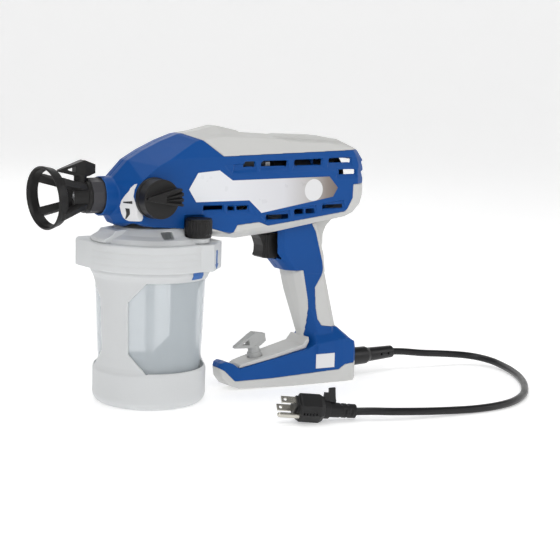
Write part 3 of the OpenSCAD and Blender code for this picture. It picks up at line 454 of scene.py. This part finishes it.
soften("housing_left", 0.6, 2, 190000, cuts=lambda: channel_cuts(-1), adds=lambda: dividers(-1))
soften("housing_right", 0.6, 2, 190000, cuts=lambda: channel_cuts(1), adds=lambda: dividers(1))
for node, v, t, most in [
        ("top_cover", 0.6, 3, 90000),
        ("rear_cover", 0.7, 3, 70000), ("grip_front", 0.6, 3, 60000), ("grip_rear", 0.6, 4, 60000),
        ("foot_base", 0.6, 3, 60000), ("trigger", 0.35, 4, 50000), ("prime_knob", 0.35, 3, 70000),
        ("retaining_nut", 0.35, 3, 40000), ("tip_guard", 0.35, 4, 90000), ("spray_tip", 0.35, 3, 50000),
        ("vent_valve_cap", 0.3, 3, 60000), ("spare_tip", 0.35, 3, 50000), ("cord_boot", 0.4, 4, 50000),
        ("plug_body", 0.35, 3, 60000), ("plug_strap", 0.3, 2, 30000), ("cup_cover", 0.5, 3, 100000),
        ("collar", 0.5, 3, 100000), ("cup_support", 0.55, 3, 140000)]:
    soften(node, v, t, most)


# ------------------------------------------------------------------ films on the skin
SKIN = {}


def skin(side):
    if side not in SKIN:
        o = bpy.data.objects["housing_left_moulded" if side < 0 else "housing_right_moulded"]
        me = o.data
        SKIN[side] = BVHTree.FromPolygons([v.co.copy() for v in me.vertices], [tuple(q.vertices) for q in me.polygons])
    return SKIN[side]


def inside(poly, x, z):
    hit = False
    for (x0, z0), (x1, z1) in zip(poly, poly[1:] + poly[:1]):
        if (z0 > z) != (z1 > z) and x < (x1 - x0) * (z - z0) / (z1 - z0) + x0:
            hit = not hit
    return hit


def film(name, poly, side, lift=0.12, thick=0.22, step=1.6, key="label", node=None, flat=False):
    """A thin film whose outline is a side view in millimetres, laid on the skin."""
    edge = []
    for (x0, z0), (x1, z1) in zip(poly, poly[1:] + poly[:1]):
        n = max(1, int(math.hypot(x1 - x0, z1 - z0) / step))
        edge += [(x0 + (x1 - x0) * i / n, z0 + (z1 - z0) * i / n) for i in range(n)]
    pts = [Vector(q) for q in edge]
    ring = [(i, (i + 1) % len(edge)) for i in range(len(edge))]
    xs, zs = [q[0] for q in poly], [q[1] for q in poly]
    x = min(xs) + step
    while x < max(xs):
        z = min(zs) + step
        while z < max(zs):
            if inside(poly, x, z) and min((Vector((x, z)) - q).length for q in pts[:len(edge)]) > 0.5 * step:
                pts.append(Vector((x, z)))
            z += step
        x += step
    vs, _, fs, *_ = delaunay_2d_cdt(pts, ring, [], 1, 1e-5)
    low, high = [], []
    for v in vs:
        hit, normal = None, None
        if not flat:
            hit, normal, _, _ = skin(side).ray_cast(Vector((v.x * MM, side * 0.07, v.y * MM)), Vector((0, -side, 0)))
        if hit is None:
            hit, normal = Vector((v.x * MM, side * 0.033, v.y * MM)), Vector((0, side, 0))
        if normal.y * side < 0:
            normal = -normal
        low.append(tuple(hit + normal * lift * MM))
        high.append(tuple(hit + normal * (lift + thick) * MM))
    n = len(vs)
    faces = [tuple(f) for f in fs] + [tuple(i + n for i in reversed(f)) for f in fs]
    count = {}
    for f in fs:
        for a, b in zip(f, list(f[1:]) + [f[0]]):
            count[(a, b)] = 1
    for a, b in list(count):
        if (b, a) not in count:
            faces.append((b, a, a + n, b + n))
    me = bpy.data.meshes.new(name)
    me.from_pydata(low + high, [], faces)
    bm = bmesh.new()
    bm.from_mesh(me)
    bmesh.ops.recalc_face_normals(bm, faces=bm.faces)
    bm.to_mesh(me)
    bm.free()
    o = link(name, me)
    paint(o, key)
    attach(o, "sprayer body")
    if node:
        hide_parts(node)
    return o


def round_poly(cx, cz, r, n=40, k=1.0):
    return [(cx + r * math.cos(2 * math.pi * i / n), cz + k * r * math.sin(2 * math.pi * i / n)) for i in range(n)]


def bar(cx, cz, w, h, turn=0.0):
    c, s = math.cos(math.radians(turn)), math.sin(math.radians(turn))
    return [(cx + x * c - z * s, cz + x * s + z * c) for x, z in ((-w / 2, -h / 2), (w / 2, -h / 2), (w / 2, h / 2), (-w / 2, h / 2))]


LABEL = [(19.3, 197), (28.6, 211.6), (51.2, 213.4), (65.4, 203.9), (174.6, 204.7), (184.9, 193.8), (179.4, 185.3), (97.9, 172.9),
         (84, 185.1), (27, 185.3)]
for side, word in ((-1, "left"), (1, "right")):
    film("side_label_" + word + "_film", LABEL, side, key="label", node="side_label_" + word, flat=True)
    film("label_disc_" + word, round_poly(156.6, 192.4, 10.4), side, lift=0.34, thick=0.08, key="white_film", flat=True)
KNOB_LABEL = [(-31.8, 203.2), (-34.6, 198), (-35.3, 192.3), (-34, 186), (-31.5, 181), (-27.8, 175.8), (-27.4, 173.4), (-28.2, 171.2),
              (-29.4, 170.6), (-35.8, 170), (-37.6, 170.9), (-39.4, 172.8), (-41.2, 176.6), (-42, 182.5), (-41.2, 188), (-39.4, 193.2),
              (-36.6, 199.2), (-33.4, 202.6)]
film("knob_label_film", KNOB_LABEL, -1, key="white_film", node="knob_label", step=1.0)
film("knob_mark_across", [(-40.4, 187), (-40.4, 185.9), (-35.9, 185.6), (-35.9, 188.2)], -1, lift=0.37, thick=0.06, key="mark_black", step=0.8)
film("knob_mark_upright", [(-39.4, 181.4), (-37.3, 181.4), (-36.9, 176.4), (-37.6, 171.8), (-38.2, 171.8), (-38.7, 176.4)], -1, lift=0.37,
     thick=0.06, key="mark_black", step=0.8)


# ------------------------------------------------------------------ cord
def cord_points():
    p = [(284, 0, 18.6), (300, -3, 17.4), (320, -8, 15), (340, -11.5, 13.2), (357, -15.5, 11.6), (371, -20.5, 10),
         (381, -29, 8.4), (386.5, -42, 6.8), (386.5, -56, 5.4), (381, -78, 4.3), (369, -103, 3.8), (350, -130, 3.7),
         (322, -159, 3.7), (292, -177.5, 3.7), (264, -184.5, 3.7), (238, -184, 3.7), (214, -180.8, 4.4), (190, -177.2, 5.6),
         (169, -173, 6.8), (152, -167.8, 7.6), (136.5, -160.6, 8.1), (121.4, -152.5, 7.8)]
    p = [Vector(q) for q in p]
    out = []
    for i in range(len(p) - 1):
        a, b, c, d = p[max(i - 1, 0)], p[i], p[i + 1], p[min(i + 2, len(p) - 1)]
        for k in range(6):
            t = k / 6
            out.append(0.5 * (2 * b + (c - a) * t + (2 * a - 5 * b + 4 * c - d) * t * t + (3 * b - a - 3 * c + d) * t ** 3))
    out.append(p[-1])
    return [q * MM for q in out]


def tube_mesh(name, pts, radius, sides=24):
    vs, fs = [], []
    side = Vector((0, 0, 1))
    for i, p in enumerate(pts):
        t = (pts[min(i + 1, len(pts) - 1)] - pts[max(i - 1, 0)]).normalized()
        side = (side - t * side.dot(t)).normalized()
        other = t.cross(side)
        for k in range(sides):
            a = 2 * math.pi * k / sides
            vs.append(p + radius * (math.cos(a) * side + math.sin(a) * other))
    for i in range(len(pts) - 1):
        for k in range(sides):
            q = (k + 1) % sides
            fs.append((i * sides + k, (i + 1) * sides + k, (i + 1) * sides + q, i * sides + q))
    fs.append(tuple(range(sides)))
    fs.append(tuple((len(pts) - 1) * sides + k for k in range(sides - 1, -1, -1)))
    me = bpy.data.meshes.new(name)
    me.from_pydata([tuple(v) for v in vs], [], fs)
    bm = bmesh.new()
    bm.from_mesh(me)
    bmesh.ops.recalc_face_normals(bm, faces=bm.faces)
    bm.to_mesh(me)
    bm.free()
    o = link(name, me)
    shade(o)
    return o


pts = cord_points()
cord = tube_mesh("power_cord_vinyl", pts, 0.0035)
stand_for(cord, "power_cord")


# ------------------------------------------------------------------ floor and light
def stage_floor():
    prof = [(0.0, 0.0)] + [(r, 0.0) for r in (0.5, 1.0, 1.6, 2.2, 2.8)]
    prof += [(2.8 + 1.6 * math.sin(math.radians(a)), 1.6 - 1.6 * math.cos(math.radians(a))) for a in range(10, 91, 10)]
    prof += [(4.4, 2.6)]
    n = 96
    vs, fs = [(0.0, 0.0, 0.0)], []
    for r, z in prof[1:]:
        for k in range(n):
            a = 2 * math.pi * k / n
            vs.append((r * math.cos(a), r * math.sin(a), z))
    for k in range(n):
        fs.append((0, 1 + k, 1 + (k + 1) % n))
    for j in range(len(prof) - 2):
        for k in range(n):
            q = (k + 1) % n
            fs.append((1 + j * n + k, 1 + (j + 1) * n + k, 1 + (j + 1) * n + q, 1 + j * n + q))
    me = bpy.data.meshes.new("floor")
    me.from_pydata(vs, [], fs)
    o = link("floor", me)
    shade(o)
    m = bpy.data.materials.new("pale_floor")
    m.use_nodes = True
    b = m.node_tree.nodes["Principled BSDF"]
    b.inputs["Base Color"].default_value = (0.9, 0.9, 0.9, 1)
    b.inputs["Roughness"].default_value = 0.6
    b.inputs["Specular IOR Level"].default_value = 0.25
    b.inputs["Emission Color"].default_value = (1, 1, 1, 1)
    b.inputs["Emission Strength"].default_value = 0.36
    me.materials.append(m)


def area(name, loc, target, size, power, colour=(1, 1, 1), size_y=None):
    d = bpy.data.lights.new(name, "AREA")
    d.shape = "RECTANGLE"
    d.size = size
    d.size_y = size_y or size
    d.energy = power
    d.color = colour
    o = bpy.data.objects.new(name, d)
    scene.collection.objects.link(o)
    o.location = loc
    o.rotation_mode = "QUATERNION"
    o.rotation_quaternion = (Vector(target) - Vector(loc)).to_track_quat("-Z", "Y")
    return o


stage_floor()
area("key_light", (-0.9, -1.5, 1.5), (0.08, 0, 0.12), 1.0, 13)
area("fill_light", (1.6, -1.2, 1.0), (0.1, 0, 0.1), 0.9, 3)
area("back_light", (0.6, 1.8, 1.5), (0.1, 0, 0.12), 1.2, 5)
area("top_light", (0.1, 0.1, 2.1), (0.08, 0, 0.1), 1.4, 14)
world = bpy.data.worlds.new("studio")
world.use_nodes = True
world.node_tree.nodes["Background"].inputs["Color"].default_value = (1, 1, 1, 1)
world.node_tree.nodes["Background"].inputs["Strength"].default_value = 0.22
scene.world = world
scene.view_settings.view_transform = "Standard"
scene.view_settings.look = "None"
